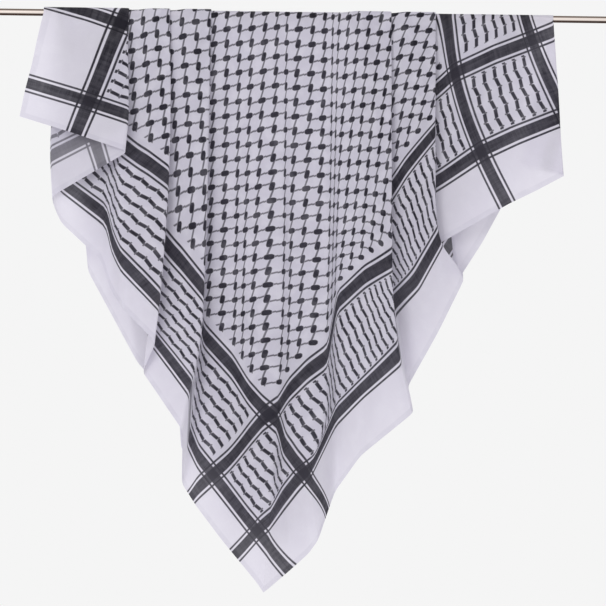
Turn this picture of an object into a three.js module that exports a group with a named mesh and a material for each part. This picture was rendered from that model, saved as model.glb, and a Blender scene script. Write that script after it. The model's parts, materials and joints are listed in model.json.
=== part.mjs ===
// A square cotton keffiyeh hung corner-down over a thin metal rod.
//
// Units are millimetres and +Z is up. The origin is on the axis of the rod, at the middle of its length.
// +X runs to the right along the rod and -Y faces the viewer, so the front half hangs at negative Y.
//
// The scarf is one square, hung with a diagonal near the rod: one corner hangs in front, the opposite one
// behind, and the two side corners end beside the rod. Its surplus width is laid in flat pleats on the
// rod. Each stretch between two fold lines is a sheet of its own here, and so is each stretch's hem.
import * as THREE from 'three';

// Driving dimensions
const SIDE = 1200;
const DIAGONAL = SIDE * Math.SQRT2;
const WALL = 1.2;
const SEAM_GAP = 0.3;
const HEM_WIDTH = 8;
const HEM_WALL = 1;
const HEM_GAP = 0.5;
const ROD_RADIUS = 5;
const ROD_LENGTH = 960;
const ROD_BEVEL = 1;
const ROD_SIDES = 24;

// How the layers lie over the rod: the first rests just clear of it, and each further one is a step out.
const FIRST_LAYER = ROD_RADIUS + WALL / 2 + 0.6;
const LAYER_STEP = 2;
// Cloth on the bias hangs a little longer near the rod than near its corners.
const BIAS_STRETCH = 0.065;
// How far along its neighbours a line's turn is rounded.
const TURN = 0.4;

// Steps of the grid: over the rod, down the hang, and between two lines.
const ROD_STEPS = 3;
const HANG_STEPS = 8;
const STEPS_BETWEEN = 2;

// Lines of the scarf that hang from the rod down to a hem. On the flat square, 'across' is measured from
// the diagonal that hangs, and 'up' from the front corner. x0 to x4 are the line's places along the rod
// at even steps of its hang, and drop is how far its hem end hangs below the rod's axis.
const LINE_COLUMNS = ['across', 'up', 'hemAcross', 'x0', 'x1', 'x2', 'x3', 'x4', 'drop'];
const FRONT_LINES = {
  edge_ad: [-739, 970, -848, -368, -376, -383, -392, -399, 156],
  flap_mid: [-683, 958, -791, -303, -305, -309, -315, -321, 179],
  flap_fold: [-628, 946, -733, -239, -239, -237, -236, -240, 205],
  under_fold: [-517, 887, -631, -352, -354, -356, -358, -354, 273],
  pleat_turn: [-503, 887, -566, -336, -340, -345, -346, -340, 309],
  pleat_valley: [-449, 884, -508, -285, -283, -280, -279, -280, 365],
  pleat_wall: [-432, 884, -463, -266, -265, -263, -262, -265, 407],
  pleat_ridge: [-418, 884, -433, -256, -254, -254, -251, -246, 435],
  pleat_fold: [-331, 882, -383, -179, -176, -177, -184, -195, 485],
  step_root: [-300, 882, -340, -210, -208, -206, -206, -215, 529],
  step_fold: [-205, 887, -257, -118, -119, -122, -130, -154, 614],
  front_root: [-168, 891, -173, -155, -147, -134, -136, -155, 693],
  front_left: [-130, 893, -136, -118, -120, -124, -127, -134, 725],
  bulge_left: [-92, 891, -86, -84, -82, -81, -84, -95, 775],
  dip_left: [-64, 890, -40, -59, -59, -61, -57, -60, 817],
  bulge_mid: [-38, 888, -15, -35, -37, -39, -37, -42, 838],
  front_corner: [-12, 888, 0, -15, -12, -11, -18, -32, 852],
  crease_a: [6, 890, 38, -4, -2, 1, 1, 4, 821],
  panel_mid: [38, 891, 65, 28, 29, 27, 29, 33, 794],
  crease_b_out: [68, 893, 89, 53, 56, 57, 57, 47, 774],
  crease_b_in: [103, 894, 170, 68, 70, 71, 71, 71, 702],
  bulge_right: [152, 897, 229, 102, 106, 109, 114, 108, 648],
  front_fold: [207, 899, 304, 148, 150, 152, 158, 185, 583],
  side_root: [257, 905, 349, 96, 104, 120, 146, 177, 545],
  side_mid: [328, 910, 436, 164, 166, 169, 183, 221, 463],
  side_fold: [381, 916, 520, 213, 214, 215, 221, 259, 383],
  right_root: [436, 925, 590, 168, 168, 168, 169, 170, 359],
  right_near: [482, 931, 637, 213, 214, 217, 222, 231, 328],
  right_band: [497, 931, 714, 228, 237, 256, 285, 320, 275],
  right_mid: [569, 958, 749, 291, 302, 321, 341, 364, 254],
  right_fold: [683, 1017, 780, 383, 388, 393, 397, 404, 231],
  corner_edge: [695, 1011, 848, 381, 373, 362, 351, 338, 218],
};
const BACK_LINES = {
  edge_ad: [-739, 970, -721, -368, -366, -365, -362, -359, 29],
  flap_fold: [-628, 946, -591, -239, -239, -240, -241, -242, 154],
  under_fold: [-517, 887, -429, -352, -340, -326, -311, -301, 377],
  pleat_wall: [-432, 884, -310, -266, -263, -255, -242, -224, 515],
  pleat_fold: [-331, 882, -222, -179, -172, -163, -151, -141, 607],
  step_root: [-300, 882, -189, -210, -202, -188, -172, -159, 640],
  step_fold: [-205, 887, -126, -118, -111, -100, -89, -81, 702],
  front_root: [-168, 891, -92, -155, -144, -128, -111, -95, 735],
  dip_left: [-64, 890, -44, -59, -52, -41, -29, -21, 769],
  back_corner: [38, 891, 0, 28, 29, 29, 29, 30, 794],
  crease_b_in: [103, 894, 89, 68, 73, 78, 79, 70, 697],
  front_fold: [207, 899, 186, 148, 150, 149, 145, 136, 607],
  side_root: [257, 905, 207, 96, 104, 115, 127, 137, 596],
  side_mid: [328, 910, 296, 164, 173, 182, 191, 199, 491],
  side_fold: [381, 916, 387, 213, 227, 242, 252, 259, 384],
  right_root: [436, 925, 402, 168, 186, 208, 230, 246, 393],
  right_near: [482, 931, 446, 213, 232, 251, 269, 285, 331],
  right_mid: [569, 958, 520, 291, 301, 311, 319, 326, 253],
  right_fold: [683, 1017, 665, 383, 381, 380, 379, 377, 16],
};
// The scarf's own corners stay sharp.
const SHARP_LINES = ['front_corner', 'back_corner'];

// Lines that lie a share of the way from one line to another. A foot and a step bracket the place where
// a stretch climbs over the fold beneath it.
const BETWEEN_COLUMNS = ['from', 'to', 'share'];
const FRONT_BETWEEN = {
  pleat_foot: ['pleat_ridge', 'pleat_fold', 0.38],
  pleat_step: ['pleat_ridge', 'pleat_fold', 0.56],
  step_foot: ['step_root', 'step_fold', 0.4],
  step_step: ['step_root', 'step_fold', 0.56],
  front_foot: ['crease_b_in', 'bulge_right', 0.2],
  front_step: ['crease_b_in', 'bulge_right', 0.7],
  side_foot: ['side_root', 'side_mid', 0.78],
};
const BACK_BETWEEN = {
  pleat_foot: ['pleat_wall', 'pleat_fold', 0.46],
  pleat_step: ['pleat_wall', 'pleat_fold', 0.61],
  step_foot: ['step_root', 'step_fold', 0.4],
  step_step: ['step_root', 'step_fold', 0.56],
  front_foot: ['crease_b_in', 'front_fold', 0.12],
  front_step: ['crease_b_in', 'front_fold', 0.3],
  side_foot: ['side_root', 'side_mid', 0.78],
};

// The stretches, each a sheet over a run of lines from left to right or, when it is folded under, from
// right to left. 'under' is how many layers lie beneath it on the rod, and d1 to d4 are how far it stands
// off the rod's axis, towards its own side, at even steps down its hang.
const REACH_COLUMNS = ['line', 'under', 'd1', 'd2', 'd3', 'd4'];
const FRONT_STRETCHES = {
  left_flap: [
    ['edge_ad', 2, 20, 30, 38, 44],
    ['flap_mid', 2, 20, 30, 37, 42],
    ['flap_fold', 2, 18, 25, 31, 35],
  ],
  left_flap_under: [
    ['flap_fold', 1, 16, 23, 29, 30],
    ['under_fold', 1, 10, 12, 14, 15],
  ],
  left_pleat: [
    ['under_fold', 0, 7, 8, 9, 10],
    ['pleat_turn', 0, 6, 6, 5, 4],
    ['pleat_valley', 0, 6, 5, 4, 4],
    ['pleat_wall', 0, 7, 7, 6, 5],
    ['pleat_ridge', 0, 12, 20, 26, 28],
    ['pleat_foot', 0, 13, 21, 27, 29],
    ['pleat_step', 2, 15, 23, 29, 31],
    ['pleat_fold', 2, 18, 26, 32, 34],
  ],
  left_pleat_under: [
    ['pleat_fold', 1, 16, 24, 30, 29],
    ['step_root', 1, 10, 12, 14, 15],
  ],
  step_pleat: [
    ['step_root', 0, 7, 8, 8, 8],
    ['step_foot', 0, 10, 14, 16, 17],
    ['step_step', 2, 14, 19, 22, 24],
    ['step_fold', 2, 18, 26, 33, 36],
  ],
  step_pleat_under: [
    ['step_fold', 1, 16, 24, 31, 31],
    ['front_root', 1, 9, 9, 8, 8],
  ],
  front_panel: [
    ['front_root', 0, 6.4, 6, 5, 4],
    ['front_left', 0, 7, 7, 7, 7],
    ['bulge_left', 0, 10, 14, 15, 14],
    ['dip_left', 0, 8, 9, 9, 8],
    ['bulge_mid', 0, 10, 13, 14, 14],
    ['front_corner', 0, 12, 17, 20, 20],
    ['crease_a', 0, 7, 8, 9, 10],
    ['panel_mid', 0, 9, 12, 14, 14],
    ['crease_b_out', 0, 12, 18, 22, 22],
    ['crease_b_in', 0, 6, 5, 4, 5],
    ['front_foot', 0, 8, 10, 12, 14],
    ['front_step', 2, 12, 15, 18, 20],
    ['bulge_right', 2, 14, 18, 22, 24],
    ['front_fold', 2, 18, 27, 35, 38],
  ],
  front_panel_under: [
    ['front_fold', 1, 16, 25, 33, 33],
    ['side_root', 1, 9, 9, 9, 9],
  ],
  right_pleat: [
    ['side_root', 0, 6.4, 6, 5, 4],
    ['side_foot', 0, 9, 12, 14, 14],
    ['side_mid', 2, 12, 15, 16, 15],
    ['side_fold', 2, 16, 20, 22, 18],
  ],
  right_pleat_under: [
    ['side_fold', 1, 14, 18, 19, 13],
    ['right_root', 1, 9, 9, 9, 9],
  ],
  right_flap: [
    ['right_root', 0, 6, 5, 5, 5],
    ['right_near', 0, 7, 8, 9, 9],
    ['right_band', 0, 9, 13, 17, 20],
    ['right_mid', 0, 10, 15, 20, 24],
    ['right_fold', 0, 11, 17, 23, 28],
  ],
};
const BACK_STRETCHES = {
  back_left_flap: [
    ['edge_ad', 2, 11, 12, 12, 12],
    ['flap_fold', 2, 14, 18, 21, 23],
  ],
  back_left_flap_under: [
    ['flap_fold', 1, 12, 16, 19, 18],
    ['under_fold', 1, 12, 16, 18, 19],
  ],
  back_left_pleat: [
    ['under_fold', 0, 9, 11, 13, 14],
    ['pleat_wall', 0, 8, 10, 12, 14],
    ['pleat_foot', 0, 13, 19, 24, 27],
    ['pleat_step', 2, 16, 22, 28, 31],
    ['pleat_fold', 2, 20, 28, 34, 38],
  ],
  back_left_pleat_under: [
    ['pleat_fold', 1, 18, 26, 32, 33],
    ['step_root', 1, 10, 11, 12, 12],
  ],
  back_step_pleat: [
    ['step_root', 0, 7, 7, 7, 7],
    ['step_foot', 0, 10, 14, 17, 19],
    ['step_step', 2, 14, 19, 23, 26],
    ['step_fold', 2, 18, 27, 34, 38],
  ],
  back_step_pleat_under: [
    ['step_fold', 1, 16, 25, 32, 33],
    ['front_root', 1, 9, 9, 8, 8],
  ],
  back_panel: [
    ['front_root', 0, 6.4, 5, 4, 4],
    ['dip_left', 0, 10, 14, 16, 18],
    ['back_corner', 0, 8, 9, 10, 12],
    ['crease_b_in', 0, 11, 15, 18, 20],
    ['front_foot', 0, 11, 15, 18, 20],
    ['front_step', 2, 14, 17, 20, 22],
    ['front_fold', 2, 17, 25, 31, 34],
  ],
  back_panel_under: [
    ['front_fold', 1, 15, 23, 29, 29],
    ['side_root', 1, 9, 9, 9, 10],
  ],
  back_right_pleat: [
    ['side_root', 0, 6.4, 6, 6, 7],
    ['side_foot', 0, 9, 10, 11, 12],
    ['side_mid', 2, 13, 15, 17, 19],
    ['side_fold', 2, 17, 24, 28, 30],
  ],
  back_right_pleat_under: [
    ['side_fold', 1, 15, 22, 26, 25],
    ['right_root', 1, 9, 10, 12, 14],
  ],
  back_right_flap: [
    ['right_root', 0, 6.4, 6, 8, 10],
    ['right_near', 0, 9, 12, 15, 17],
    ['right_mid', 0, 10, 13, 14, 14],
    ['right_fold', 0, 14, 14, 14, 14],
  ],
};
// The right corner is turned back behind the right flap. It starts below the rod.
const CORNER_STRETCHES = {
  right_corner: [
    ['right_fold', 0, 8, 14, 19, 22],
    ['corner_edge', 0, 3, 8, 10, 12],
  ],
};
// Stretches that also end at a hem on one side: the first or the last of their lines.
const SIDE_HEMS = { left_flap: 'left', back_left_flap: 'left', right_corner: 'right' };

const FRONT = { facing: -1, lines: FRONT_LINES, between: FRONT_BETWEEN, cornerUp: 0 };
const BACK = { facing: 1, lines: BACK_LINES, between: BACK_BETWEEN, cornerUp: DIAGONAL };

const cloth = new THREE.MeshStandardMaterial({ color: 0xe4e2ea, roughness: 0.9, side: THREE.DoubleSide });
const hemCloth = new THREE.MeshStandardMaterial({ color: 0xd6d4de, roughness: 0.92 });
const metal = new THREE.MeshStandardMaterial({ color: 0x8a7468, roughness: 0.25, metalness: 1 });

function named(columns, row) {
  return Object.fromEntries(columns.map((column, index) => [column, row[index]]));
}

function mix(a, b, share) {
  return a + (b - a) * share;
}

// A line's row, with where its hem end lies up the flat square.
function lineOf(half, name) {
  if (name in half.between) {
    const { from, to, share } = named(BETWEEN_COLUMNS, half.between[name]);
    const [a, b] = [lineOf(half, from), lineOf(half, to)];
    return Object.fromEntries(Object.keys(a).map((key) => [key, mix(a[key], b[key], share)]));
  }
  const line = named(LINE_COLUMNS, half.lines[name]);
  line.hemUp = Math.abs(half.cornerUp - Math.abs(line.hemAcross));
  return line;
}

// A smooth curve through values at even steps, from the first at 0 to the last at 1.
function through(values, at) {
  const place = Math.min(Math.max(at, 0), 1) * (values.length - 1);
  const i = Math.min(Math.floor(place), values.length - 2);
  const t = place - i;
  const [b, c] = [values[i], values[i + 1]];
  const a = values[i - 1] ?? 2 * b - c;
  const d = values[i + 2] ?? 2 * c - b;
  const start = (c - a) / 2;
  const end = (d - b) / 2;
  return (
    (2 * t ** 3 - 3 * t ** 2 + 1) * b +
    (t ** 3 - 2 * t ** 2 + t) * start +
    (3 * t ** 2 - 2 * t ** 3) * c +
    (t ** 3 - t ** 2) * end
  );
}

// A point on a line: t is 0 on top of the rod, and 1 at the hem. The first rows go over the rod.
function pointOnLine(half, line, reach, row) {
  const radius = FIRST_LAYER + LAYER_STEP * reach.under;
  if (row < ROD_STEPS) {
    const topClear = SEAM_GAP / 2 / radius;
    const angle = row === 0 ? topClear : (Math.PI / 2) * (row / ROD_STEPS);
    return new THREE.Vector3(line.x0, half.facing * radius * Math.sin(angle), radius * Math.cos(angle));
  }
  const t = (row - ROD_STEPS) / HANG_STEPS;
  const length = Math.hypot(line.across - line.hemAcross, line.up - line.hemUp);
  const ease = (BIAS_STRETCH * length) / (DIAGONAL / 2);
  const stand = through([radius, reach.d1, reach.d2, reach.d3, reach.d4], t);
  const x = through([line.x0, line.x1, line.x2, line.x3, line.x4], t);
  return new THREE.Vector3(x, half.facing * stand, -line.drop * (t + ease * t * (1 - t)));
}

// A row of the grid across a stretch's lines. Each inner line's turn is rounded, unless it is sharp.
function acrossLines(points, names, stepsBetween) {
  const rounded = points.map((point, i) => {
    const inner = i > 0 && i < points.length - 1 && !SHARP_LINES.includes(names[i]);
    if (!inner) {
      return point;
    }
    const left = point.clone().lerp(points[i - 1], TURN);
    const right = point.clone().lerp(points[i + 1], TURN);
    return left.add(right).multiplyScalar(0.25).addScaledVector(point, 0.5);
  });
  const row = [];
  for (let i = 0; i < points.length - 1; i += 1) {
    row.push(rounded[i]);
    for (let k = 1; k < stepsBetween; k += 1) {
      row.push(points[i].clone().lerp(points[i + 1], k / stepsBetween));
    }
  }
  row.push(rounded.at(-1));
  return row;
}

// The grid of a stretch: rows from the top of the rod to the hem, and columns across its lines. The row
// above its first is worked out too, for the way that the first one faces.
function gridOf(half, rows, firstRow) {
  const reaches = rows.map((row) => named(REACH_COLUMNS, row));
  const names = reaches.map((reach) => reach.line);
  const lines = names.map((name) => lineOf(half, name));
  const grid = [];
  for (let row = firstRow - 1; row <= ROD_STEPS + HANG_STEPS; row += 1) {
    const points = lines.map((line, i) => pointOnLine(half, line, reaches[i], row));
    grid.push(acrossLines(points, names, STEPS_BETWEEN));
  }
  const normals = grid.map((row, i) => row.map((_, j) => normalAt(grid, i, j)));
  return { grid: grid.slice(1), normals: normals.slice(1) };
}

// Below the rod, a row can run as steeply as the hem does, so only its level part counts.
function normalAt(grid, i, j) {
  const row = grid[i];
  const down = (grid[i + 1] ?? row)[j].clone().sub((grid[i - 1] ?? row)[j]);
  const over = row[Math.min(j + 1, row.length - 1)].clone().sub(row[Math.max(j - 1, 0)]);
  if (row[j].z < 0) {
    over.z = 0;
  }
  return over.cross(down).normalize();
}

// A closed wall on a grid: two faces, each half the wall from the grid moved out by 'offset', and a rim.
function wallOn(grid, normals, offset, wall) {
  const [rows, columns] = [grid.length, grid[0].length];
  const positions = [];
  for (const side of [offset + wall / 2, offset - wall / 2]) {
    grid.forEach((row, i) => row.forEach((point, j) => {
      positions.push(...point.clone().addScaledVector(normals[i][j], side).toArray());
    }));
  }
  const at = (side, i, j) => side * rows * columns + i * columns + j;
  const index = [];
  const quad = (a, b, c, d) => index.push(a, b, c, a, c, d);
  for (let i = 0; i < rows - 1; i += 1) {
    for (let j = 0; j < columns - 1; j += 1) {
      quad(at(0, i, j), at(0, i, j + 1), at(0, i + 1, j + 1), at(0, i + 1, j));
      const [a, b, c, d] = [at(1, i, j), at(1, i, j + 1), at(1, i + 1, j + 1), at(1, i + 1, j)];
      index.push(a, c, b, a, d, c);
    }
  }
  const rim = [];
  for (let j = 0; j < columns; j += 1) rim.push([0, j]);
  for (let i = 1; i < rows; i += 1) rim.push([i, columns - 1]);
  for (let j = columns - 2; j >= 0; j -= 1) rim.push([rows - 1, j]);
  for (let i = rows - 2; i > 0; i -= 1) rim.push([i, 0]);
  rim.forEach(([i, j], k) => {
    const [m, n] = rim[(k + 1) % rim.length];
    quad(at(0, m, n), at(0, i, j), at(1, i, j), at(1, m, n));
  });
  return closedGeometry(positions, index);
}

function signedVolume(positions, index) {
  const [a, b, c] = [new THREE.Vector3(), new THREE.Vector3(), new THREE.Vector3()];
  let volume = 0;
  for (let i = 0; i < index.length; i += 3) {
    a.fromArray(positions, index[i] * 3);
    b.fromArray(positions, index[i + 1] * 3);
    c.fromArray(positions, index[i + 2] * 3);
    volume += a.dot(b.cross(c));
  }
  return volume;
}

function closedGeometry(positions, index) {
  const outward = signedVolume(positions, index) > 0 ? index : index.slice().reverse();
  const geometry = new THREE.BufferGeometry();
  geometry.setAttribute('position', new THREE.Float32BufferAttribute(positions, 3));
  geometry.setIndex(outward);
  geometry.computeVertexNormals();
  return geometry;
}

function meshOf(name, geometry, material) {
  const mesh = new THREE.Mesh(geometry, material.clone());
  mesh.name = name;
  return mesh;
}

// The outer points of a table's edge, each with its neighbour further in. The side ones stop short of the
// bottom hem.
const EDGE_PAIRS = {
  bottom: (table) => table.at(-1).map((outer, j) => [outer, table.at(-2)[j]]),
  left: (table) => table.slice(0, -1).map((row) => [row[0], row[1]]),
  right: (table) => table.slice(0, -1).map((row) => [row.at(-1), row.at(-2)]),
};

// The outer edge of a grid, and a line as far in from it as a hem is wide.
function stripAt(grid, normals, edge) {
  const pick = EDGE_PAIRS[edge];
  const shares = pick(grid).map(([outer, inner]) => Math.min(1, HEM_WIDTH / outer.distanceTo(inner)));
  const outerRow = (pairs) => pairs.map(([outer]) => outer);
  const innerRow = (pairs) => pairs.map(([outer, inner], k) => outer.clone().lerp(inner, shares[k]));
  const stripOf = (table) => [innerRow(pick(table)), outerRow(pick(table))];
  return [stripOf(grid), stripOf(normals)];
}

// The turned hem lies on the wrong side of the cloth, which is the inner side of an outward stretch.
function hemOn(name, grid, normals, edge, wrongSide) {
  const [strip, directions] = stripAt(grid, normals, edge);
  const offset = wrongSide * (WALL / 2 + HEM_GAP + HEM_WALL / 2);
  return meshOf(name, wallOn(strip, directions, offset, HEM_WALL), hemCloth);
}

// A stretch that runs from right to left is folded under, so its wrong side faces out.
function wrongSideOf(half, grid, normals) {
  const middle = Math.floor(grid.length / 2);
  const facesOut = Math.sign(normals[middle][0].y) === half.facing;
  const runsRight = grid[middle].at(-1).x > grid[middle][0].x;
  return (facesOut ? -1 : 1) * (runsRight ? 1 : -1);
}

function stretchesOf(half, table, firstRow) {
  return Object.entries(table).flatMap(([name, rows]) => {
    const { grid, normals } = gridOf(half, rows, firstRow);
    const sheet = meshOf(name, wallOn(grid, normals, 0, WALL), cloth);
    const wrongSide = wrongSideOf(half, grid, normals);
    const pieces = [sheet, hemOn(`hem_${name}`, grid, normals, 'bottom', wrongSide)];
    if (name in SIDE_HEMS) {
      pieces.push(hemOn(`hem_${name}_side`, grid, normals, SIDE_HEMS[name], wrongSide));
    }
    return pieces;
  });
}

// The rod: a round bar along X with bevelled, flat ends.
function makeRod() {
  const half = ROD_LENGTH / 2;
  const profile = [
    new THREE.Vector2(0, -half),
    new THREE.Vector2(ROD_RADIUS - ROD_BEVEL, -half),
    new THREE.Vector2(ROD_RADIUS, -half + ROD_BEVEL),
    new THREE.Vector2(ROD_RADIUS, half - ROD_BEVEL),
    new THREE.Vector2(ROD_RADIUS - ROD_BEVEL, half),
    new THREE.Vector2(0, half),
  ];
  const rod = meshOf('rod', new THREE.LatheGeometry(profile, ROD_SIDES), metal);
  rod.rotation.z = -Math.PI / 2;
  return rod;
}

const scarf = new THREE.Group();
scarf.add(makeRod());
scarf.add(...stretchesOf(FRONT, FRONT_STRETCHES, 0));
scarf.add(...stretchesOf(BACK, BACK_STRETCHES, 0));
scarf.add(...stretchesOf(FRONT, CORNER_STRETCHES, ROD_STEPS + 1));

export default scarf;
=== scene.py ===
"""A square cotton keffiyeh hung corner-down over a thin metal rod.

The cloth is one sheet. Lines run on it from the rod down to the hems, and each one has a place on the
flat square and a place as it hangs. The sheet is worked out between those lines, folds and all, so the
woven bands and the net are drawn on the flat square and follow the cloth.
"""

import json
import math

import bpy
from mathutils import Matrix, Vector


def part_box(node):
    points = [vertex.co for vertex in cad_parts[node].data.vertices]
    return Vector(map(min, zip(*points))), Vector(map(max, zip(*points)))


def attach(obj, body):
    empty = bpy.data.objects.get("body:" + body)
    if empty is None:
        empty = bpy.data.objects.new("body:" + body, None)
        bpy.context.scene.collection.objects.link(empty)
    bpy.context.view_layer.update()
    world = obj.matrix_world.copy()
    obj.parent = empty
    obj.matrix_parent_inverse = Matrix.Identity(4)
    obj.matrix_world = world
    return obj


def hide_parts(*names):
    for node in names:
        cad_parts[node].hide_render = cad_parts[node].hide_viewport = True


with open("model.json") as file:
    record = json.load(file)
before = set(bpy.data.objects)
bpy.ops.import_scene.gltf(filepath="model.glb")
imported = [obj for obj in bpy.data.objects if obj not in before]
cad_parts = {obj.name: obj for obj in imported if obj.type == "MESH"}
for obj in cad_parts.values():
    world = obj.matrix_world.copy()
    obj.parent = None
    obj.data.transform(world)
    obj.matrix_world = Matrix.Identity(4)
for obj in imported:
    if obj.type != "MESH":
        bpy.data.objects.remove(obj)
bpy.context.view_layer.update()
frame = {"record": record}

MM = 0.001

# ---------------------------------------------------------------------------------------------
# Sizes, in millimetres
# ---------------------------------------------------------------------------------------------
SIDE = 1200.0
DIAGONAL = SIDE * math.sqrt(2)
ROD_RADIUS = (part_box("rod")[1][2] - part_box("rod")[0][2]) / 2 / MM
FIRST_LAYER = ROD_RADIUS + 0.9
LAYER_STEP = 1.2
BIAS_STRETCH = 0.065
HEM_WIDTH = 8.0

# Steps of the sheet's grid
ROD_ROWS = 6
HANG_ROWS = 110
COLUMN_STEP = 5.0
FOLD_STEP = 1.4
FOLD_REACH = 9.0
ROUNDING = 7.0

# Lines of the scarf: where each starts on the rod and ends at a hem on the flat square ('across' from
# the hanging diagonal, 'up' from the front corner), its places along the rod at even steps of its hang
# (x0 to x4), and how far its hem end hangs below the rod's axis.
LINE_COLUMNS = ("across", "up", "hem_across", "x0", "x1", "x2", "x3", "x4", "drop")
FRONT_LINES = {
    "edge_ad": (-718, 979, -848, -368, -376, -383, -392, -399, 156),
    "flap_mid": (-675, 962, -791, -303, -305, -309, -315, -321, 179),
    "flap_fold": (-628, 946, -733, -239, -239, -237, -236, -240, 205),
    "under_fold": (-517, 887, -631, -352, -354, -356, -358, -354, 273),
    "pleat_turn": (-503, 887, -566, -336, -340, -345, -346, -340, 309),
    "pleat_valley": (-449, 884, -508, -285, -283, -280, -279, -280, 365),
    "pleat_wall": (-432, 884, -463, -266, -265, -263, -262, -265, 407),
    "pleat_ridge": (-418, 884, -433, -256, -254, -254, -251, -246, 435),
    "pleat_fold": (-331, 882, -383, -179, -176, -177, -184, -195, 485),
    "step_root": (-300, 882, -340, -210, -208, -206, -206, -215, 529),
    "step_fold": (-205, 887, -257, -118, -119, -122, -130, -154, 614),
    "front_root": (-168, 891, -173, -155, -147, -134, -136, -155, 693),
    "front_left": (-130, 893, -136, -118, -120, -124, -127, -134, 725),
    "bulge_left": (-92, 891, -86, -84, -82, -81, -84, -95, 775),
    "dip_left": (-64, 890, -40, -59, -59, -61, -57, -60, 817),
    "bulge_mid": (-38, 888, -15, -35, -37, -39, -37, -42, 838),
    "front_corner": (-12, 888, 0, -15, -12, -11, -18, -32, 852),
    "crease_a": (6, 890, 38, -4, -2, 1, 1, 4, 821),
    "panel_mid": (38, 891, 65, 28, 29, 27, 29, 33, 794),
    "crease_b_out": (68, 893, 89, 53, 56, 57, 57, 47, 774),
    "crease_b_in": (103, 894, 170, 68, 70, 71, 71, 71, 702),
    "bulge_right": (152, 897, 229, 102, 106, 109, 114, 108, 648),
    "front_fold": (207, 899, 304, 148, 150, 152, 158, 185, 583),
    "side_root": (257, 905, 349, 96, 104, 120, 146, 177, 545),
    "side_mid": (328, 910, 436, 164, 166, 169, 183, 221, 463),
    "side_fold": (381, 916, 520, 213, 214, 215, 221, 259, 383),
    "right_root": (436, 925, 590, 168, 168, 168, 169, 170, 359),
    "right_near": (482, 931, 637, 213, 214, 217, 222, 231, 328),
    "right_band": (497, 931, 714, 228, 237, 256, 285, 320, 275),
    "right_mid": (569, 958, 749, 291, 300, 316, 336, 362, 254),
    "right_fold": (683, 1017, 780, 386, 392, 397, 400, 404, 231),
    "corner_edge": (695, 1011, 848, 381, 373, 362, 351, 338, 218),
}
BACK_LINES = {
    "edge_ad": (-718, 979, -691, -368, -366, -365, -362, -359, 29),
    "flap_fold": (-628, 946, -591, -239, -239, -240, -241, -242, 154),
    "under_fold": (-517, 887, -429, -352, -340, -326, -311, -301, 377),
    "pleat_wall": (-432, 884, -310, -266, -263, -255, -242, -224, 515),
    "pleat_fold": (-331, 882, -222, -179, -172, -163, -151, -141, 607),
    "step_root": (-300, 882, -189, -210, -202, -188, -172, -159, 640),
    "step_fold": (-205, 887, -126, -118, -111, -100, -89, -81, 702),
    "front_root": (-168, 891, -92, -155, -144, -128, -111, -95, 735),
    "dip_left": (-64, 890, -44, -59, -52, -41, -29, -21, 769),
    "back_corner": (38, 891, 0, 28, 29, 29, 29, 30, 794),
    "crease_b_in": (103, 894, 89, 68, 73, 78, 79, 70, 697),
    "front_fold": (207, 899, 186, 148, 150, 149, 145, 136, 607),
    "side_root": (257, 905, 207, 96, 104, 115, 127, 137, 596),
    "side_mid": (328, 910, 296, 164, 173, 182, 191, 199, 491),
    "side_fold": (381, 916, 387, 213, 227, 242, 252, 259, 384),
    "right_root": (436, 925, 402, 168, 186, 208, 230, 246, 393),
    "right_near": (482, 931, 446, 213, 232, 251, 269, 285, 331),
    "right_mid": (569, 958, 520, 291, 301, 311, 319, 326, 253),
    "right_fold": (683, 1017, 665, 383, 381, 380, 379, 377, 16),
}
SHARP_LINES = ("front_corner", "back_corner")

# Lines a share of the way between two others, where a stretch climbs over the fold beneath it.
FRONT_BETWEEN = {
    "pleat_foot": ("pleat_ridge", "pleat_fold", 0.38),
    "pleat_step": ("pleat_ridge", "pleat_fold", 0.56),
    "step_foot": ("step_root", "step_fold", 0.4),
    "step_step": ("step_root", "step_fold", 0.56),
    "front_foot": ("crease_b_in", "bulge_right", 0.2),
    "front_step": ("crease_b_in", "bulge_right", 0.7),
    "side_foot": ("side_root", "side_mid", 0.78),
}
BACK_BETWEEN = {
    "pleat_foot": ("pleat_wall", "pleat_fold", 0.46),
    "pleat_step": ("pleat_wall", "pleat_fold", 0.61),
    "step_foot": ("step_root", "step_fold", 0.4),
    "step_step": ("step_root", "step_fold", 0.56),
    "front_foot": ("crease_b_in", "front_fold", 0.12),
    "front_step": ("crease_b_in", "front_fold", 0.3),
    "side_foot": ("side_root", "side_mid", 0.78),
}

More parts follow.
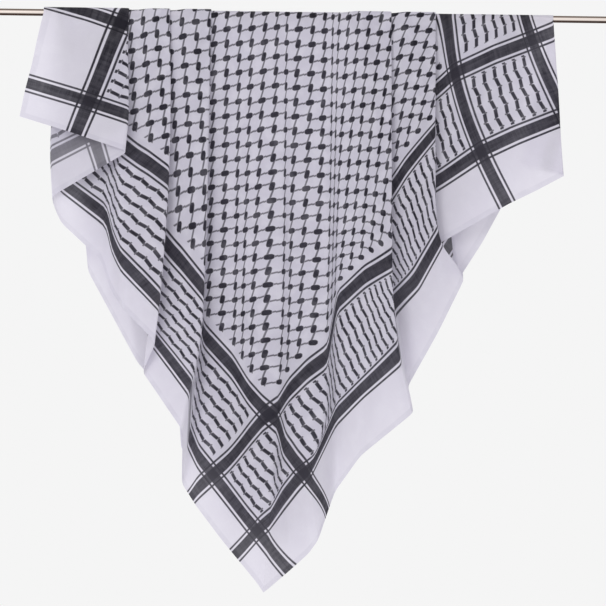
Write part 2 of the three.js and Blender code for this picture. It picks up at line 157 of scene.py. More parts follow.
# How far each line stands off the rod's axis: 'under' is how many layers lie beneath it on the rod, and
# d1 to d4 are at even steps down its hang. A line on a fold comes twice, once for each side of it.
FRONT_REACH = (
    ("edge_ad", 2, 20, 30, 38, 44),
    ("flap_mid", 2, 20, 30, 37, 42),
    ("flap_fold", 2, 18, 25, 31, 35),
    ("flap_fold", 1, 16, 23, 29, 32),
    ("under_fold", 1, 10, 12, 14, 15),
    ("under_fold", 0, 7, 8, 9, 10),
    ("pleat_turn", 0, 6, 6, 5, 4),
    ("pleat_valley", 0, 6, 5, 4, 4),
    ("pleat_wall", 0, 7, 7, 6, 5),
    ("pleat_ridge", 0, 12, 20, 26, 28),
    ("pleat_foot", 0, 13, 21, 27, 29),
    ("pleat_step", 2, 15, 23, 29, 31),
    ("pleat_fold", 2, 18, 26, 32, 34),
    ("pleat_fold", 1, 16, 24, 30, 31),
    ("step_root", 1, 10, 12, 14, 15),
    ("step_root", 0, 7, 8, 8, 8),
    ("step_foot", 0, 10, 14, 16, 17),
    ("step_step", 2, 14, 19, 22, 24),
    ("step_fold", 2, 18, 26, 33, 36),
    ("step_fold", 1, 16, 24, 31, 33),
    ("front_root", 1, 9, 9, 8, 8),
    ("front_root", 0, 6.4, 6, 5, 4),
    ("front_left", 0, 7, 7, 7, 7),
    ("bulge_left", 0, 10, 14, 15, 14),
    ("dip_left", 0, 8, 9, 9, 8),
    ("bulge_mid", 0, 10, 13, 14, 14),
    ("front_corner", 0, 12, 17, 20, 20),
    ("crease_a", 0, 7, 8, 9, 10),
    ("panel_mid", 0, 9, 12, 14, 14),
    ("crease_b_out", 0, 12, 18, 22, 22),
    ("crease_b_in", 0, 6, 5, 4, 5),
    ("front_foot", 0, 8, 10, 12, 14),
    ("front_step", 2, 12, 15, 18, 20),
    ("bulge_right", 2, 14, 18, 22, 24),
    ("front_fold", 2, 18, 27, 35, 38),
    ("front_fold", 1, 16, 25, 33, 35),
    ("side_root", 1, 9, 9, 9, 9),
    ("side_root", 0, 6.4, 6, 5, 4),
    ("side_foot", 0, 9, 12, 14, 14),
    ("side_mid", 2, 12, 15, 16, 15),
    ("side_fold", 2, 16, 20, 22, 18),
    ("side_fold", 1, 14, 18, 20, 16),
    ("right_root", 1, 9, 9, 9, 9),
    ("right_root", 0, 6, 5, 5, 5),
    ("right_near", 0, 7, 8, 9, 9),
    ("right_band", 0, 9, 13, 17, 20),
    ("right_mid", 0, 10, 15, 20, 24),
    ("right_fold", 0, 11, 17, 23, 28),
    ("right_fold", 0, 9, 15, 21, 26),
    ("corner_edge", 0, 6.4, 8, 10, 12),
)
BACK_REACH = (
    ("edge_ad", 2, 11, 12, 12, 12),
    ("flap_fold", 2, 14, 18, 21, 23),
    ("flap_fold", 1, 12, 16, 19, 21),
    ("under_fold", 1, 12, 16, 18, 19),
    ("under_fold", 0, 9, 11, 13, 14),
    ("pleat_wall", 0, 8, 10, 12, 14),
    ("pleat_foot", 0, 13, 19, 24, 27),
    ("pleat_step", 2, 16, 22, 28, 31),
    ("pleat_fold", 2, 20, 28, 34, 38),
    ("pleat_fold", 1, 18, 26, 32, 36),
    ("step_root", 1, 10, 11, 12, 12),
    ("step_root", 0, 7, 7, 7, 7),
    ("step_foot", 0, 10, 14, 17, 19),
    ("step_step", 2, 14, 19, 23, 26),
    ("step_fold", 2, 18, 27, 34, 38),
    ("step_fold", 1, 16, 25, 32, 36),
    ("front_root", 1, 9, 9, 8, 8),
    ("front_root", 0, 6.4, 5, 4, 4),
    ("dip_left", 0, 10, 14, 16, 18),
    ("back_corner", 0, 8, 9, 10, 12),
    ("crease_b_in", 0, 11, 15, 18, 20),
    ("front_foot", 0, 11, 15, 18, 20),
    ("front_step", 2, 14, 17, 20, 22),
    ("front_fold", 2, 17, 25, 31, 34),
    ("front_fold", 1, 15, 23, 29, 32),
    ("side_root", 1, 9, 9, 9, 10),
    ("side_root", 0, 6.4, 6, 6, 7),
    ("side_foot", 0, 9, 10, 11, 12),
    ("side_mid", 2, 13, 15, 17, 19),
    ("side_fold", 2, 17, 24, 28, 30),
    ("side_fold", 1, 15, 22, 26, 28),
    ("right_root", 1, 9, 10, 12, 14),
    ("right_root", 0, 6.4, 6, 8, 10),
    ("right_near", 0, 9, 12, 15, 17),
    ("right_mid", 0, 10, 13, 14, 14),
    ("right_fold", 0, 14, 14, 14, 14),
)
CORNER_START = 0.12

# Where a line leaves its smooth path: the middle and half length of the stretch, as shares of its
# hang, and how far it goes to the right and up.
FRONT_SWAYS = (
    ("pleat_valley", 0.80, 0.30, 8, 0),
    ("pleat_ridge", 0.42, 0.30, 0, -10),
    ("pleat_fold", 0.84, 0.15, 0, -9),
    ("step_root", 0.62, 0.34, 0, -34),
    ("step_fold", 0.62, 0.34, 0, -36),
    ("crease_a", 0.82, 0.16, -10, 0),
    ("panel_mid", 0.84, 0.16, -17, 0),
    ("crease_b_out", 0.87, 0.13, -18, 0),
    ("crease_b_in", 0.62, 0.22, 0, 22),
    ("crease_b_in", 0.85, 0.12, 0, 10),
    ("bulge_right", 0.60, 0.22, 0, 8),
    ("front_fold", 0.58, 0.24, 0, -26),
    ("front_fold", 0.84, 0.14, 0, -14),
    ("side_root", 0.80, 0.20, 0, 22),
    ("side_mid", 0.79, 0.20, 0, -20),
    ("side_fold", 0.77, 0.22, 0, -27),
)
BACK_SWAYS = (
    ("right_root", 0.84, 0.15, 0, 16),
    ("right_near", 0.84, 0.15, 0, 16),
)

# Soft creases, from one place on the flat square to another, with their half width and how far they
# stand out, or in where that is below zero.
CREASES = (
    (-800, 905, -712, 1010, 9, 2.4),
    (-770, 860, -690, 960, 7, -1.6),
    (-735, 800, -660, 900, 8, 1.8),
    (-700, 790, -640, 720, 7, 1.5),
    (-560, 640, -480, 880, 8, 1.6),
    (-530, 560, -500, 700, 9, -2.0),
    (-470, 520, -420, 690, 10, 2.2),
    (-370, 420, -320, 640, 8, 1.5),
    (-290, 330, -240, 600, 8, -1.4),
    (-220, 880, -235, 520, 6, 0.9),
    (-150, 200, -110, 420, 10, 1.6),
    (-100, 880, -112, 420, 6, -1.1),
    (-40, 120, -58, 420, 10, 1.6),
    (-20, 880, -24, 480, 6, 1.0),
    (40, 60, 22, 330, 9, -1.4),
    (75, 880, 66, 520, 6, 1.1),
    (120, 150, 150, 420, 9, 1.6),
    (180, 880, 196, 560, 7, -1.1),
    (230, 250, 205, 470, 9, 1.5),
    (300, 880, 330, 560, 7, 1.0),
    (360, 380, 372, 620, 9, -1.3),
    (470, 500, 500, 700, 9, 1.5),
    (560, 600, 548, 860, 10, 1.6),
    (640, 690, 620, 960, 9, -1.5),
    (-560, 1120, -480, 960, 10, 1.8),
    (-380, 1280, -330, 1000, 9, -1.6),
    (-260, 1400, -230, 1050, 9, 1.4),
    (-120, 1540, -100, 1150, 10, 1.8),
    (-30, 1620, -10, 1250, 9, -1.5),
    (70, 1580, 90, 1120, 10, 1.7),
    (190, 1460, 210, 1080, 9, -1.5),
    (330, 1330, 340, 1010, 9, 1.6),
    (470, 1200, 470, 980, 9, -1.4),
    (590, 1090, 570, 980, 8, 1.4),
)

FRONT = {
    "facing": -1,
    "lines": FRONT_LINES,
    "between": FRONT_BETWEEN,
    "reach": FRONT_REACH,
    "corner_up": 0,
    "sways": FRONT_SWAYS,
}
BACK = {
    "facing": 1,
    "lines": BACK_LINES,
    "between": BACK_BETWEEN,
    "reach": BACK_REACH,
    "corner_up": DIAGONAL,
    "sways": BACK_SWAYS,
}


# ---------------------------------------------------------------------------------------------
# The sheet
# ---------------------------------------------------------------------------------------------
def mix(a, b, share):
    return a + (b - a) * share


def smooth(low, high, value):
    """0 below low, 1 above high, and an S-curve between."""
    share = min(max((value - low) / (high - low), 0), 1)
    return share * share * (3 - 2 * share)


def line_of(half, name):
    """A line's row, with where its hem end lies up the flat square."""
    if name in half["between"]:
        start, end, share = half["between"][name]
        a = line_of(half, start)
        b = line_of(half, end)
        return {key: mix(a[key], b[key], share) for key in a}
    line = dict(zip(LINE_COLUMNS, half["lines"][name]))
    line["hem_up"] = abs(half["corner_up"] - abs(line["hem_across"]))
    return line


def through(values, at):
    """A smooth curve through values at even steps, from the first at 0 to the last at 1."""
    place = min(max(at, 0), 1) * (len(values) - 1)
    i = min(int(place), len(values) - 2)
    t = place - i
    b, c = values[i], values[i + 1]
    a = values[i - 1] if i > 0 else 2 * b - c
    d = values[i + 2] if i + 2 < len(values) else 2 * c - b
    start = (c - a) / 2
    end = (d - b) / 2
    from_b = (2 * t**3 - 3 * t**2 + 1) * b + (t**3 - 2 * t**2 + t) * start
    to_c = (3 * t**2 - 2 * t**3) * c + (t**3 - t**2) * end
    return from_b + to_c


def sways_of(half, name):
    """A line's sways. One between two others has a share of both of theirs."""
    if name in half["between"]:
        start, end, share = half["between"][name]
        pairs = ((start, 1 - share), (end, share))
        return [
            (middle, reach, right * part, rise * part)
            for parent, part in pairs
            for middle, reach, right, rise in sways_of(half, parent)
        ]
    return [sway[1:] for sway in half["sways"] if sway[0] == name]


def lines_of(half):
    """The half's lines from left to right, each with its place across the rod and how far it stands off."""
    rows = []
    for name, under, *stands in half["reach"]:
        line = line_of(half, name)
        rows.append({
            "name": name,
            "at": line["across"],
            "top": (line["across"], line["up"]),
            "hem": (line["hem_across"], line["hem_up"]),
            "x": [line[key] for key in ("x0", "x1", "x2", "x3", "x4")],
            "stand": [FIRST_LAYER + LAYER_STEP * under, *stands],
            "drop": line["drop"],
            "sways": sways_of(half, name),
        })
    return rows


def station(row):
    """A row of the grid, as the angle over the rod and the share of the hang below it."""
    if row < ROD_ROWS:
        return math.pi / 2 * row / ROD_ROWS, 0.0
    return math.pi / 2, (row - ROD_ROWS) / HANG_ROWS


def on_line(line, row):
    """A line's point at a row: place along the rod, how far it stands off, height, and flat place."""
    angle, t = station(row)
    stand = through(line["stand"], t)
    x = through(line["x"], t)
    length = math.dist(line["top"], line["hem"])
    ease = BIAS_STRETCH * length / (DIAGONAL / 2)
    over_rod = line["stand"][0] * math.pi / 2 / length
    share = over_rod * angle / (math.pi / 2) + (1 - over_rod) * t
    flat = [mix(a, b, share) for a, b in zip(line["top"], line["hem"])]
    if t == 0:
        return (x, line["stand"][0] * math.sin(angle), line["stand"][0] * math.cos(angle), *flat)
    height = -line["drop"] * (t + ease * t * (1 - t))
    for middle, reach, right, rise in line["sways"]:
        share = 1 - smooth(0, reach, abs(t - middle))
        x += right * share
        height += rise * share
    return (x, stand, height, *flat)


def columns_of(rows):
    """The places of the sheet's columns across the rod: close together at folds, wider elsewhere."""
    marks = sorted({row["at"] for row in rows})
    folds = [a["at"] for a, b in zip(rows, rows[1:]) if a["name"] == b["name"]]
    columns = []
    at = marks[0]
    while at < marks[-1]:
        columns.append(at)
        near = min(abs(at - fold) for fold in folds)
        at += FOLD_STEP if near < FOLD_REACH else COLUMN_STEP
    return sorted({*columns, FRONT_LINES["right_fold"][0], marks[-1]})


def between_lines(points, ats, at):
    """The point at a place across, on straight runs between lines. Folds have two points at one place."""
    for i in range(len(ats) - 1):
        if ats[i + 1] > at or i == len(ats) - 2:
            if ats[i + 1] <= ats[i]:
                continue
            share = min(max((at - ats[i]) / (ats[i + 1] - ats[i]), 0), 1)
            return [mix(a, b, share) for a, b in zip(points[i], points[i + 1])]
    return points[-1]


def rounded(points, ats, at, reach):
    """The point at a place across, averaged over its neighbours so that folds and creases are round."""
    weights = (1, 4, 6, 4, 1)
    total = [0.0] * 5
    low, high = ats[0], ats[-1]
    reach = min(reach, at - low, high - at)
    for k, weight in enumerate(weights):
        point = between_lines(points, ats, at + (k - 2) / 2 * reach)
        total = [t + weight / 16 * value for t, value in zip(total, point)]
    return total


def rounding_at(at, rows):
    """The scarf's own corners stay sharp."""
    sharp = [row["at"] for row in rows if row["name"] in SHARP_LINES]
    return min([ROUNDING] + [abs(at - place) for place in sharp])


def crease_at(across, up):
    """How far the creases lift the cloth at a flat place."""
    lift = 0.0
    for x0, y0, x1, y1, width, height in CREASES:
        run_x, run_y = x1 - x0, y1 - y0
        along = ((across - x0) * run_x + (up - y0) * run_y) / (run_x**2 + run_y**2)
        if -0.2 < along < 1.2:
            off = math.hypot(across - x0 - along * run_x, up - y0 - along * run_y)
            if off < 3 * width:
                ends = smooth(-0.2, 0.3, along) * (1 - smooth(0.7, 1.2, along))
                lift += height * ends * math.exp(-((off / width) ** 2))
    return lift


def grid_of(half, columns):
    """Rows of points from the top of the rod to the hem, in the frame, each with its flat place."""
    rows = lines_of(half)
    ats = [row["at"] for row in rows]
    grid = []
    for r in range(ROD_ROWS + HANG_ROWS + 1):
        points = [on_line(row, r) for row in rows]
        grid.append([rounded(points, ats, at, rounding_at(at, rows)) for at in columns])
    for row in grid:
        for point in row:
            point[1] = half["facing"] * (point[1] + crease_at(point[3], point[4]))
    return grid


def meet_on_rod(back, front):
    """Brings the back half's rows to the front half's where they meet on top of the rod."""
    gaps = [[f - b for f, b in zip(*pair)] for pair in zip(front[0], back[0])]
    for r, row in enumerate(back):
        share = 1 - smooth(0, ROD_ROWS + HANG_ROWS / 6, r)
        for point, gap in zip(row, gaps):
            for k in (0, 3, 4):
                point[k] += gap[k] * share


def piece_from(name, grid, is_cloth, is_under, materials):
    """A smooth mesh object on a grid of points, that keeps their flat places as an attribute."""
    index = {}
    faces = []
    under = []
    for r in range(len(grid) - 1):
        for c in range(len(grid[r]) - 1):
            if is_cloth(r, c):
                corners = ((r, c), (r, c + 1), (r + 1, c + 1), (r + 1, c))
                faces.append([index.setdefault(corner, len(index)) for corner in corners])
                under.append(int(is_under(c)))
    points = [grid[r][c] for r, c in index]
    mesh = bpy.data.meshes.new(name)
    mesh.from_pydata([[value * MM for value in point[:3]] for point in points], [], faces)
    mesh.update()
    attribute = mesh.attributes.new("flat", "FLOAT_VECTOR", "POINT")
    for i, point in enumerate(points):
        attribute.data[i].vector = (point[3], point[4], 0)
    for material in materials:
        mesh.materials.append(material)
    mesh.polygons.foreach_set("use_smooth", [True] * len(faces))
    mesh.polygons.foreach_set("material_index", under)
    piece = bpy.data.objects.new(name, mesh)
    bpy.context.scene.collection.objects.link(piece)
    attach(piece, "root")
    return piece


def folded_under(columns):
    """The columns of stretches that are folded under, from a line's second row to the next line's first."""
    rows = lines_of(FRONT)
    doubled = [i for i in range(1, len(rows)) if rows[i]["name"] == rows[i - 1]["name"]]
    spans = [(rows[i]["at"], rows[i + 1]["at"]) for i in doubled[::2]]
    return {c for c, at in enumerate(columns) if any(low <= at < high for low, high in spans)}


def make_scarf(right_side, wrong_side):
    """The whole square, from the back hem over the rod to the front hem."""
    columns = columns_of(lines_of(FRONT))
    under = folded_under(columns)
    right_end = FRONT_LINES["right_fold"][0]
    front = grid_of(FRONT, columns)
    back = grid_of(BACK, columns)
    meet_on_rod(back, front)
    grid = back[:0:-1] + front
    corner_row = len(back) - 1 + ROD_ROWS + CORNER_START * HANG_ROWS

    def is_cloth(r, c):
        return columns[c] < right_end or r > corner_row

    return piece_from("scarf", grid, is_cloth, under.__contains__, (right_side, wrong_side))


# ---------------------------------------------------------------------------------------------
# Materials
# ---------------------------------------------------------------------------------------------
class Graph:
    """Short words for a material's nodes."""

    def __init__(self, name):
        self.material = bpy.data.materials.new(name)
        self.material.use_nodes = True
        self.tree = self.material.node_tree
        self.tree.nodes.clear()
        self.output = self.node("ShaderNodeOutputMaterial")

    def node(self, kind, **settings):
        made = self.tree.nodes.new(kind)
        for key, value in settings.items():
            setattr(made, key, value)
        return made

    def put(self, socket, value):
        if isinstance(value, bpy.types.NodeSocket):
            self.tree.links.new(value, socket)
        else:
            socket.default_value = value

    def math(self, operation, a, b=0.0, c=0.0, clamp=False):
        made = self.node("ShaderNodeMath", operation=operation, use_clamp=clamp)
        for socket, value in zip(made.inputs, (a, b, c)):
            self.put(socket, value)
        return made.outputs[0]

    def add(self, a, b):
        return self.math("ADD", a, b)

    def sub(self, a, b):
        return self.math("SUBTRACT", a, b)

    def mul(self, a, b):
        return self.math("MULTIPLY", a, b)

    def low(self, a, b):
        return self.math("MINIMUM", a, b)

    def high(self, a, b):
        return self.math("MAXIMUM", a, b)

    def size(self, a):
        return self.math("ABSOLUTE", a)

    def sign(self, a):
        return self.math("SIGN", a)

    def inverse(self, a):
        return self.math("SUBTRACT", 1.0, a)

    def below(self, value, edge, soft):
        """1 where value is under edge, 0 where it is over, and a soft step between."""
        made = self.node("ShaderNodeMapRange", interpolation_type="SMOOTHSTEP")
        self.put(made.inputs["Value"], value)
        self.put(made.inputs["From Min"], edge - soft)
        self.put(made.inputs["From Max"], edge + soft)
        made.inputs["To Min"].default_value = 1.0
        made.inputs["To Max"].default_value = 0.0
        return made.outputs["Result"]

    def above(self, value, edge, soft):
        return self.inverse(self.below(value, edge, soft))

    def colours(self, share, first, second):
        made = self.node("ShaderNodeMix", data_type="RGBA")
        self.put(made.inputs["Factor"], share)
        self.put(made.inputs["A"], first)
        self.put(made.inputs["B"], second)
        return made.outputs["Result"]

    def noise(self, vector, scale, detail=2.0):
        made = self.node("ShaderNodeTexNoise")
        self.put(made.inputs["Vector"], vector)
        made.inputs["Scale"].default_value = scale
        made.inputs["Detail"].default_value = detail
        return made.outputs["Fac"]


# The weave's layout on the flat square, in millimetres from its sides. 'long' sides are the front left
# and back right ones, and 'short' sides the other two.
BANDS_FROM_SHORT = (85.7, 210.6)
BANDS_FROM_LONG = (55.4, 191.4)
BAND_HALF = 8.5
BAND_GAP = 11.9
BAND_EDGE = 15.0
ZONE_MARGIN = 1.5
ROW_START = 72.4
ROW_PITCH = (SIDE - 2 * ROW_START) / 62
DASH_START = 106.2
DASH_PITCH = (SIDE - 2 * DASH_START) / 70
DASH_HALF_LENGTH = 6.3
DASH_HALF_WIDTH = 2.8
DASH_TILT = 0.15
HOOK_HALF_WIDTH = 1.1
HOOK_LENGTH = 5.4
NET_PITCH = 21.06
NET_ACROSS = -127.8
NET_UP = 335.2
NET_MARGIN = 7.5
LINK_MARGIN = 10.0
TALL_KNOT = (3.7, 6.4)
WIDE_KNOT = (6.3, 4.2)
LINK_HALF = 1.3
LINK_SLOPE = 0.35
SOFT_EDGE = 0.6


def band_ink(g, distance, places):
    """The three-line bands that run along the sides: a thick one between two thin ones."""
    ink = 0.0
    for place in places:
        off = g.size(g.sub(distance, place))
        thick = g.below(off, BAND_HALF, SOFT_EDGE)
        thin = g.mul(g.above(off, BAND_GAP, SOFT_EDGE), g.below(off, BAND_EDGE, SOFT_EDGE))
        ink = g.high(ink, g.high(thick, thin))
    return ink


def strip_between(g, distance, places):
    """The strip between a side's two bands."""
    outer, inner = places
    return g.mul(
        g.above(distance, outer + BAND_EDGE + ZONE_MARGIN, SOFT_EDGE),
        g.below(distance, inner - BAND_EDGE - ZONE_MARGIN, SOFT_EDGE),
    )


def beyond(g, distance, places, margin):
    """What lies beyond a side's inner band."""
    return g.above(distance, places[1] + BAND_EDGE + margin, SOFT_EDGE)


def dash_ink(g, along, rows):
    """Chains of dashes that step to and fro, with a small hook at each turn."""
    row = g.math("DIVIDE", g.sub(rows, ROW_START), ROW_PITCH)
    step = g.math("DIVIDE", g.sub(along, DASH_START), DASH_PITCH)
    u = g.mul(g.sub(g.math("FRACT", step), 0.5), DASH_PITCH)
    v = g.mul(g.sub(g.math("FRACT", row), 0.5), ROW_PITCH)
    turn = g.sub(g.mul(g.math("PINGPONG", g.math("FLOOR", step), 1.0), 2.0), 1.0)
    off = g.sub(v, g.mul(g.mul(u, DASH_TILT), turn))
    inside = g.mul(
        g.below(g.size(u), DASH_HALF_LENGTH, SOFT_EDGE),
        g.below(g.size(off), DASH_HALF_WIDTH, SOFT_EDGE),
    )
    outward = g.mul(v, g.mul(g.sign(u), turn))
    hook = g.mul(
        g.below(g.sub(DASH_PITCH / 2, g.size(u)), HOOK_HALF_WIDTH, SOFT_EDGE),
        g.below(g.size(g.sub(outward, HOOK_LENGTH / 2)), HOOK_LENGTH / 2, SOFT_EDGE),
    )
    return g.high(inside, g.mul(hook, 0.85))


def net_ink(g, across, up):
    """Net of upright and level knots by turns, and the thin links that join them and lean."""
    k = g.math("DIVIDE", g.sub(across, NET_ACROSS), NET_PITCH)
    n = g.math("DIVIDE", g.sub(up, NET_UP), NET_PITCH)
    column = g.math("ROUND", k)
    row = g.math("ROUND", n)
    u = g.mul(g.sub(k, column), NET_PITCH)
    v = g.mul(g.sub(n, row), NET_PITCH)
    tall = g.math("PINGPONG", g.add(column, row), 1.0)

    def by_knot(for_tall, for_wide):
        return g.add(g.mul(tall, for_tall), g.mul(g.inverse(tall), for_wide))

    half_width = by_knot(TALL_KNOT[0], WIDE_KNOT[0])
    half_height = by_knot(TALL_KNOT[1], WIDE_KNOT[1])
    lean = g.sub(u, g.mul(v, by_knot(0.18, 0.0)))
    rise = g.sub(v, g.mul(u, by_knot(0.0, 0.14)))
    in_knot = g.high(g.sub(g.size(lean), half_width), g.sub(g.size(rise), half_height))
    corner = g.add(g.math("DIVIDE", g.size(lean), half_width), g.math("DIVIDE", g.size(rise), half_height))
    knot = g.mul(g.below(in_knot, 0.0, SOFT_EDGE), g.below(corner, 1.55, 0.12))
    side = g.sign(u)
    reach = g.sub(g.size(u), by_knot(3.0, WIDE_KNOT[0]))
    level_path = g.mul(side, g.add(by_knot(-4.0, 0.8), g.mul(reach, LINK_SLOPE)))
    level = g.mul(g.below(g.size(g.sub(v, level_path)), LINK_HALF, SOFT_EDGE), g.above(reach, 0.0, 1.0))
    upright_path = g.mul(g.sub(v, g.mul(g.sign(v), NET_PITCH / 2)), 0.3)
    upright = g.mul(
        g.below(g.size(g.sub(u, upright_path)), LINK_HALF, SOFT_EDGE),
        g.above(g.size(v), 3.5, 1.0),
    )
    return knot, g.mul(g.high(level, upright), 0.8)


MARGIN_CLOTH = (0.76, 0.735, 0.82, 1)
NET_CLOTH = (0.655, 0.635, 0.725, 1)
INK = (0.008, 0.007, 0.012, 1)
# The hem colour is painted shade, for the darker look of the doubled hem cloth. It also tints the cloth's
# uneven threads.
HEM_SHADE_AND_THREAD_CLOTH = (0.60, 0.58, 0.67, 1)
PALE_CLOTH = (0.80, 0.78, 0.86, 1)
SHEER_INK = (0.25, 0.243, 0.28, 1)
SHEER_SHARE = 0.34


def streaks(g, across_them, along_them, fine, long):
    """Uneven threads that run one way."""
    places = g.node("ShaderNodeCombineXYZ")
    g.put(places.inputs[0], g.mul(across_them, fine))
    g.put(places.inputs[1], g.mul(along_them, long))
    return g.noise(places.outputs[0], 1.0, 2.0)


def both_ways(g, from_bc, from_ab, fine, long):
    """Uneven threads that run along both sides of the square."""
    one_way = streaks(g, from_bc, from_ab, fine, long)
    other_way = streaks(g, from_ab, from_bc, fine, long)
    return g.mul(g.add(one_way, other_way), 0.5)


def make_cloth(name, ink_share):
    """The cloth, whose ink is weaker on its wrong side."""
    g = Graph(name)
    flat = g.node("ShaderNodeAttribute", attribute_name="flat")
    parts = g.node("ShaderNodeSeparateXYZ")
    g.put(parts.inputs[0], flat.outputs["Vector"])
    across, up = parts.outputs[0], parts.outputs[1]
    from_bc = g.mul(g.sub(up, across), math.sqrt(0.5))
    from_ab = g.mul(g.add(up, across), math.sqrt(0.5))
    short = g.low(from_bc, g.sub(SIDE, from_bc))
    long = g.low(from_ab, g.sub(SIDE, from_ab))

    short_bands = band_ink(g, short, BANDS_FROM_SHORT)
    long_bands = band_ink(g, long, BANDS_FROM_LONG)
    bands = g.high(short_bands, long_bands)
    short_strip = strip_between(g, short, BANDS_FROM_SHORT)
    long_strip = strip_between(g, long, BANDS_FROM_LONG)
    past_short = beyond(g, short, BANDS_FROM_SHORT, NET_MARGIN)
    past_long = beyond(g, long, BANDS_FROM_LONG, NET_MARGIN)
    in_net = g.mul(past_short, past_long)
    in_links = g.mul(
        beyond(g, short, BANDS_FROM_SHORT, LINK_MARGIN),
        beyond(g, long, BANDS_FROM_LONG, LINK_MARGIN),
    )
    in_dashes = g.sub(g.mul(g.add(short_strip, past_short), g.add(long_strip, past_long)), in_net)
    dashes = g.mul(dash_ink(g, from_bc, from_ab), in_dashes)
    knots, links = net_ink(g, across, up)
    net = g.high(g.mul(knots, in_net), g.mul(links, in_links))

    threads = both_ways(g, from_bc, from_ab, 1.6, 0.06)
    bars = both_ways(g, from_bc, from_ab, 0.2, 0.012)
    patches = g.noise(flat.outputs["Vector"], 0.045, 3.0)
    worn = g.add(0.985, g.mul(g.sub(threads, 0.5), 0.3))
    at_hem = g.below(g.low(short, long), HEM_WIDTH, 0.8)
    band_share = g.add(0.965, g.mul(g.sub(bars, 0.5), 0.3))
    mark_share = g.sub(1.0, g.mul(g.above(patches, 0.55, 0.1), 0.08))
    ink = g.high(g.mul(bands, band_share), g.mul(g.high(dashes, net), mark_share))
    # Painted shade: ink is made a little darker inside the hem, where the cloth is doubled.
    ink = g.mul(ink, g.add(worn, g.mul(at_hem, 0.04)))
    ink = g.high(ink, g.mul(g.mul(short_bands, long_bands), 0.985))
    ink = g.math("MULTIPLY", ink, ink_share, clamp=True)

    past_outer = g.mul(
        g.above(short, BANDS_FROM_SHORT[0], BAND_EDGE),
        g.above(long, BANDS_FROM_LONG[0], BAND_EDGE),
    )
    ground = g.colours(past_outer, MARGIN_CLOTH, NET_CLOTH)
    # Painted shade: the ground darkens towards the hem colour along the doubled hem.
    ground = g.colours(g.mul(at_hem, 0.45), ground, HEM_SHADE_AND_THREAD_CLOTH)
    ground = g.colours(g.mul(g.above(patches, 0.55, 0.12), 0.5), ground, PALE_CLOTH)
    # The cloth's own uneven threads tint the ground a little towards the same colour.
    ground = g.colours(g.mul(g.above(threads, 0.5, 0.12), 0.12), ground, HEM_SHADE_AND_THREAD_CLOTH)
    colour = g.colours(ink, ground, INK)

    # Plain weave: fine threads along the sides of the square.
    warp = g.math("SINE", g.mul(from_bc, math.tau / 1.5))
    weft = g.math("SINE", g.mul(from_ab, math.tau / 1.5))
    height = g.add(g.mul(g.add(warp, weft), 0.03), g.mul(g.add(threads, g.mul(ink, 0.5)), 0.3))
    bump = g.node("ShaderNodeBump")
    bump.inputs["Strength"].default_value = 0.4
    bump.inputs["Distance"].default_value = 0.0008
    g.put(bump.inputs["Height"], height)

    face = g.node("ShaderNodeBsdfPrincipled")
    g.put(face.inputs["Base Color"], colour)
    g.put(face.inputs["Normal"], bump.outputs["Normal"])
    face.inputs["Roughness"].default_value = 0.85
    face.inputs["Sheen Weight"].default_value = 0.04
    face.inputs["Specular IOR Level"].default_value = 0.08
    sheer = g.node("ShaderNodeBsdfTranslucent")
    g.put(sheer.inputs["Color"], g.colours(ink, MARGIN_CLOTH, SHEER_INK))
    both = g.node("ShaderNodeMixShader")
    both.inputs["Fac"].default_value = SHEER_SHARE
    g.put(both.inputs[1], face.outputs[0])
    g.put(both.inputs[2], sheer.outputs[0])
    g.put(g.output.inputs["Surface"], both.outputs[0])
    return g.material


# Colours of the rod's painted reflection: bright on its faces, dark along its top and darker along its
# underside.
ROD_FACE_PAINTED_REFLECTION = (0.93, 0.83, 0.77, 1)
ROD_TOP_PAINTED_REFLECTION = (0.21, 0.165, 0.14, 1)
ROD_UNDERSIDE_PAINTED_REFLECTION = (0.07, 0.048, 0.04, 1)
ROD_EDGE_TINT = (0.3, 0.22, 0.18, 1)


def make_metal(radius):
    """Polished metal with a painted reflection: bright on its faces and painted dark along its top and
    underside.
    """
    g = Graph("polished_rod")
    place = g.node("ShaderNodeTexCoord").outputs["Object"]
    parts = g.node("ShaderNodeSeparateXYZ")
    g.put(parts.inputs[0], place)
    height = g.math("DIVIDE", parts.outputs[2], radius)
    along = g.node("ShaderNodeMapping")
    g.put(along.inputs["Vector"], place)
    along.inputs["Scale"].default_value = (3.0, 400.0, 400.0)
    wear = g.noise(along.outputs["Vector"], 2.0, 4.0)
    # Painted reflection: by height on the rod, the colour goes from bright on the faces to dark brown on
    # the top and underside.
    colour = g.colours(g.above(height, 0.42, 0.16), ROD_FACE_PAINTED_REFLECTION, ROD_TOP_PAINTED_REFLECTION)
    colour = g.colours(g.below(height, -0.36, 0.16), colour, ROD_UNDERSIDE_PAINTED_REFLECTION)
    metal = g.node("ShaderNodeBsdfPrincipled")
    metal.inputs["Metallic"].default_value = 1.0
    metal.inputs["Specular Tint"].default_value = ROD_EDGE_TINT
    g.put(metal.inputs["Base Color"], colour)
    g.put(metal.inputs["Roughness"], g.add(0.14, g.mul(wear, 0.12)))
    g.put(g.output.inputs["Surface"], metal.outputs[0])
    return g.material


def make_plain(name, colour):
    g = Graph(name)
    plain = g.node("ShaderNodeBsdfPrincipled")
    plain.inputs["Base Color"].default_value = colour
    plain.inputs["Roughness"].default_value = 0.9
    g.put(g.output.inputs["Surface"], plain.outputs[0])
    return g.material


# ---------------------------------------------------------------------------------------------
# Floor, light and camera
# ---------------------------------------------------------------------------------------------
VIEW_CENTRE = (20.4, -424.3)
VIEW_WIDTH = 895.7
VIEW_DISTANCE = 6.0
VIEW_ROLL = math.radians(0.76)
SENSOR = 36.0


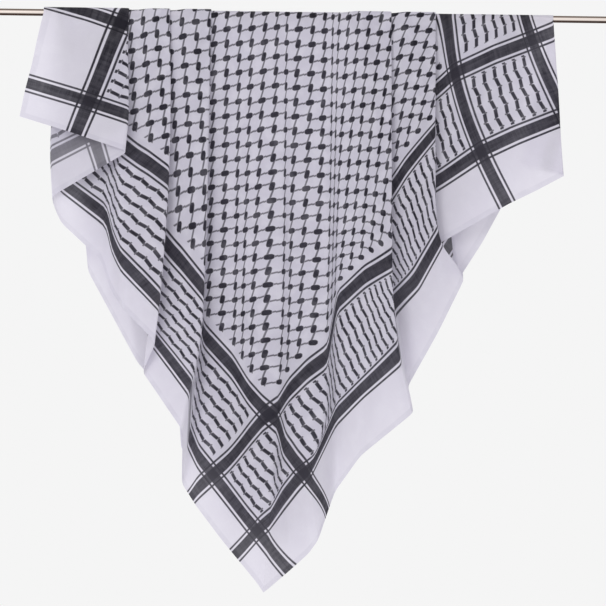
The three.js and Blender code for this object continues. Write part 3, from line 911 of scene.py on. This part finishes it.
def flat_square(name, corners, material):
    mesh = bpy.data.meshes.new(name)
    mesh.from_pydata(corners, [], [(0, 1, 2, 3)])
    mesh.materials.append(material)
    plane = bpy.data.objects.new(name, mesh)
    bpy.context.scene.collection.objects.link(plane)
    return plane


def make_stage():
    pale = make_plain("pale_floor", (0.9, 0.9, 0.9, 1))
    floor = -1.6
    flat_square("floor", [(-6, -6, floor), (6, -6, floor), (6, 6, floor), (-6, 6, floor)], pale)


def area_light(name, place, target, size, watts):
    data = bpy.data.lights.new(name, "AREA")
    data.shape = "SQUARE"
    data.size = size
    data.energy = watts
    light = bpy.data.objects.new(name, data)
    light.location = place
    aim = Vector(target) - Vector(place)
    light.rotation_euler = aim.to_track_quat("-Z", "Y").to_euler()
    bpy.context.scene.collection.objects.link(light)
    return light


def make_light():
    world = bpy.data.worlds.new("soft_studio")
    world.use_nodes = True
    background = world.node_tree.nodes["Background"]
    background.inputs["Color"].default_value = (1, 1, 1, 1)
    background.inputs["Strength"].default_value = 0.913
    bpy.context.scene.world = world
    area_light("key", (-1.6, -2.2, 0.6), (0, 0, -0.4), 1.2, 22)
    bpy.context.scene.view_settings.view_transform = "Standard"


def make_camera():
    data = bpy.data.cameras.new("camera")
    data.sensor_width = SENSOR
    data.lens = SENSOR * VIEW_DISTANCE / (VIEW_WIDTH * MM)
    data.clip_end = 50
    camera = bpy.data.objects.new("camera", data)
    camera.location = (VIEW_CENTRE[0] * MM, -VIEW_DISTANCE, VIEW_CENTRE[1] * MM)
    camera.rotation_euler = (math.pi / 2, -VIEW_ROLL, 0)
    bpy.context.scene.collection.objects.link(camera)
    bpy.context.scene.camera = camera


# ---------------------------------------------------------------------------------------------
# The scene
# ---------------------------------------------------------------------------------------------
scarf = make_scarf(make_cloth("keffiyeh_face", 1.0), make_cloth("keffiyeh_wrong_side", 0.72))
cloth_nodes = [node["node"] for node in frame["record"]["subparts"] if node["node"] != "rod"]
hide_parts(*cloth_nodes)

rod = bpy.data.objects["rod"]
rod.data.materials.clear()
rod.data.materials.append(make_metal(ROD_RADIUS * MM))

make_stage()
make_light()
make_camera()
